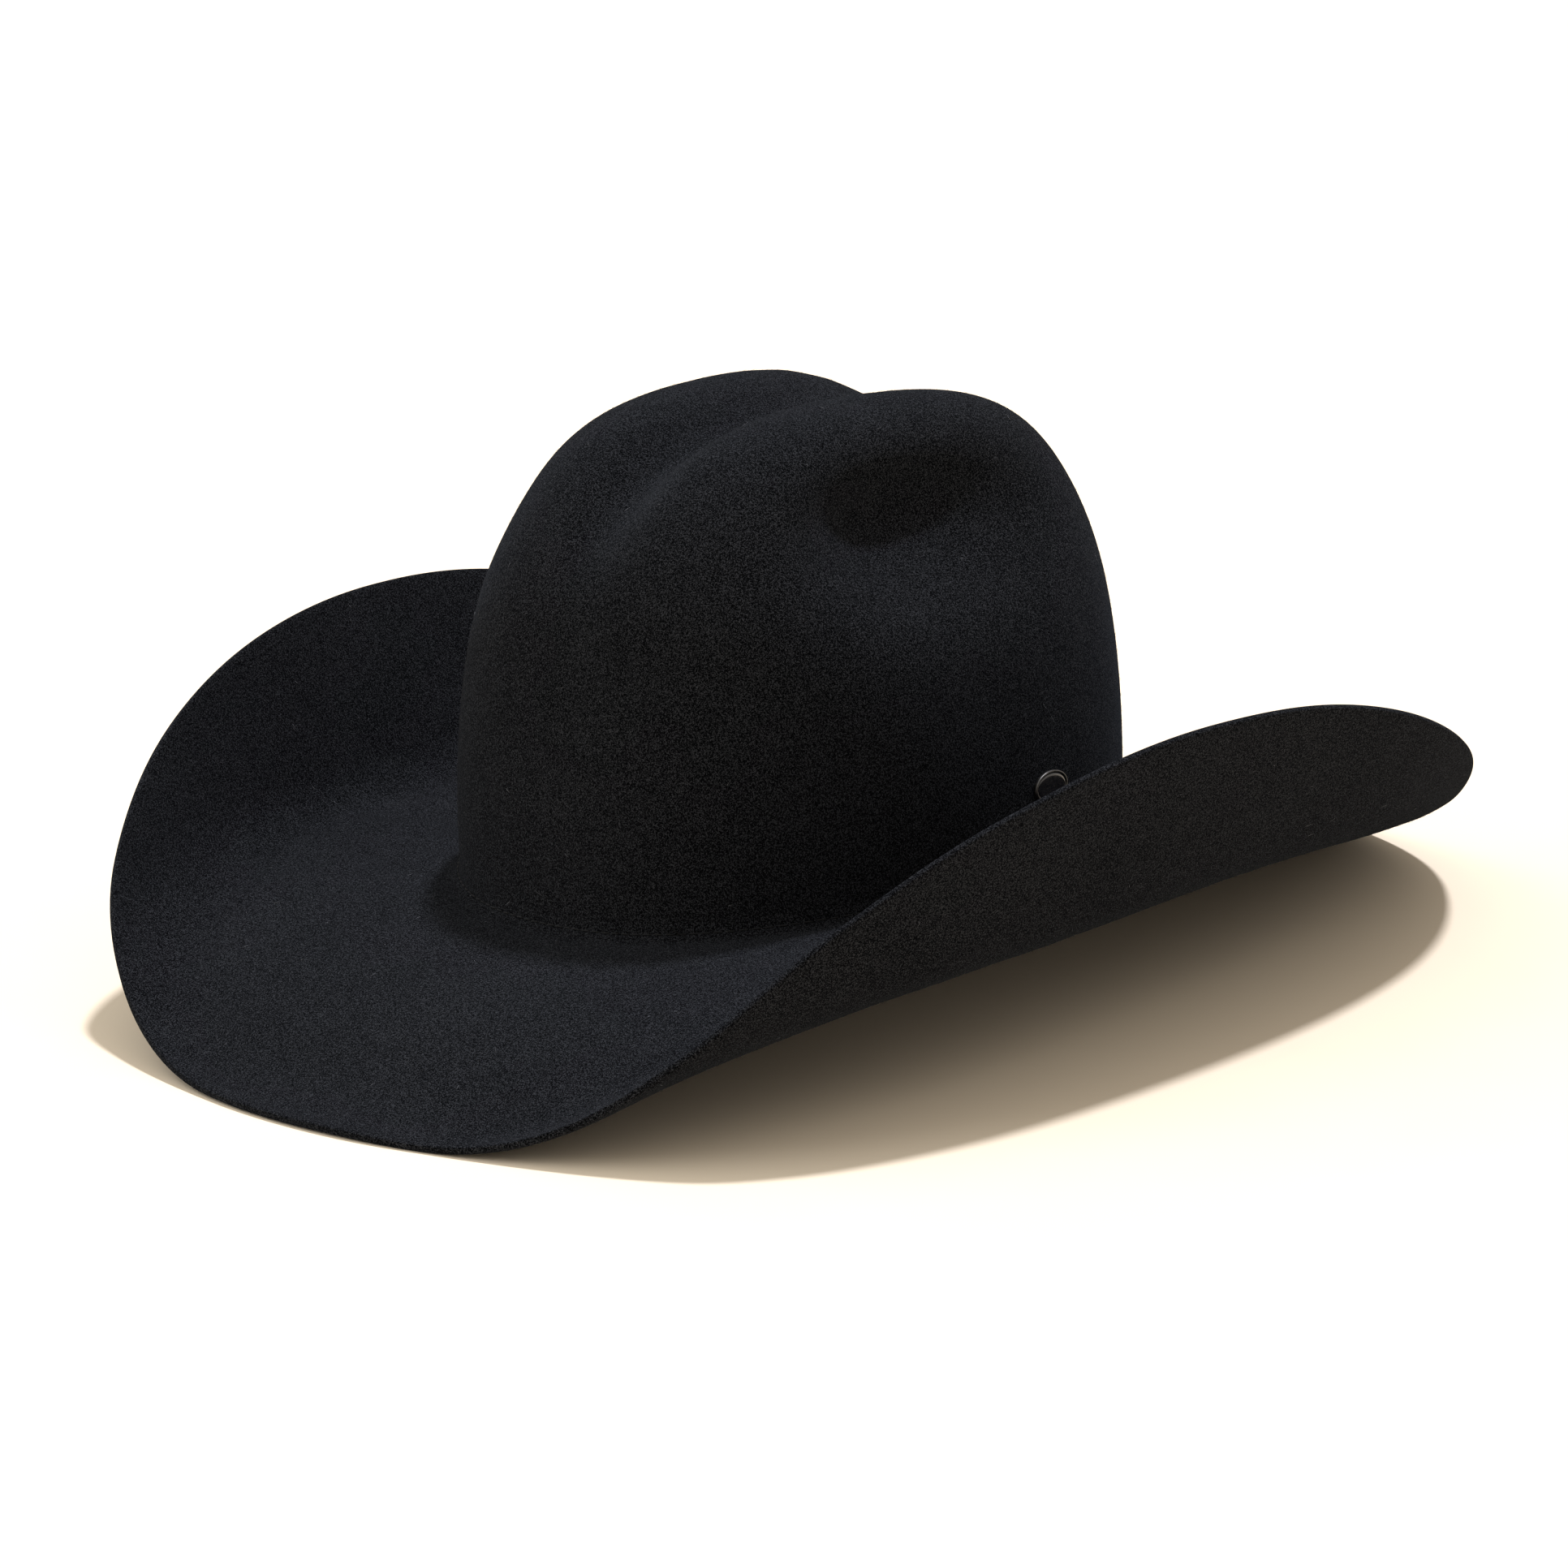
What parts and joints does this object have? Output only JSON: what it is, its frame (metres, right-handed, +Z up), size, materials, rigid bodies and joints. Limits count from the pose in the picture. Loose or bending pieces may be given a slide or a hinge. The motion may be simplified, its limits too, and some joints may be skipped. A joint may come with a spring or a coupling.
{
  "type": "cowboy hat",
  "caption": "Black felt cowboy hat with a creased crown and rolled brim, a sewn-in sweatband and lining, and a small oval badge whose posts pull out of clutches.",
  "frame": {"origin": "on the surface that the hat stands on, under the middle of the brim", "axes": "+X towards the wearer's left, -Y towards the hat's front, +Z up"},
  "size_m": [0.3784, 0.42, 0.1812],
  "materials": {
    "felt": "matt black wool felt with a short nap",
    "sweatband_cloth": "black grosgrain-faced band",
    "reed_tape": "black tape over a plastic reed",
    "thread": "black spun thread",
    "ribbon": "black ribbed ribbon",
    "lining_satin": "black satin",
    "piping_satin": "black corded piping",
    "patch_satin": "dark satin patch, blank",
    "label_tape": "white woven tape, blank",
    "badge_metal": "black nickel with bright edges",
    "badge_enamel": "black enamel",
    "post_metal": "plain nickel",
    "clutch_brass": "plain brass"
  },
  "bodies": {
    "hat": {"felt_body": "felt", "sweatband": "sweatband_cloth", "sweatband_reed": "reed_tape", "sweatband_stitching": "thread", "sweatband_splice": "sweatband_cloth", "sweatband_bow": "ribbon", "lining_tip": "lining_satin", "lining_side": "lining_satin", "lining_piping": "piping_satin", "lining_patch": "patch_satin", "size_label": "label_tape", "care_label": "label_tape", "thread_knot": "thread", "badge_clutch_front": "clutch_brass", "badge_clutch_rear": "clutch_brass"},
    "badge": {"badge_plate": "badge_metal", "badge_enamel": "badge_enamel", "badge_post_front": "post_metal", "badge_post_rear": "post_metal"}
  },
  "joints": [
    {"name": "badge_pull", "type": "slide", "parent": "hat", "child": "badge", "axis": [0.9936, 0.0858, 0.0733], "range_m": [0, 0.0055]}
  ]
}
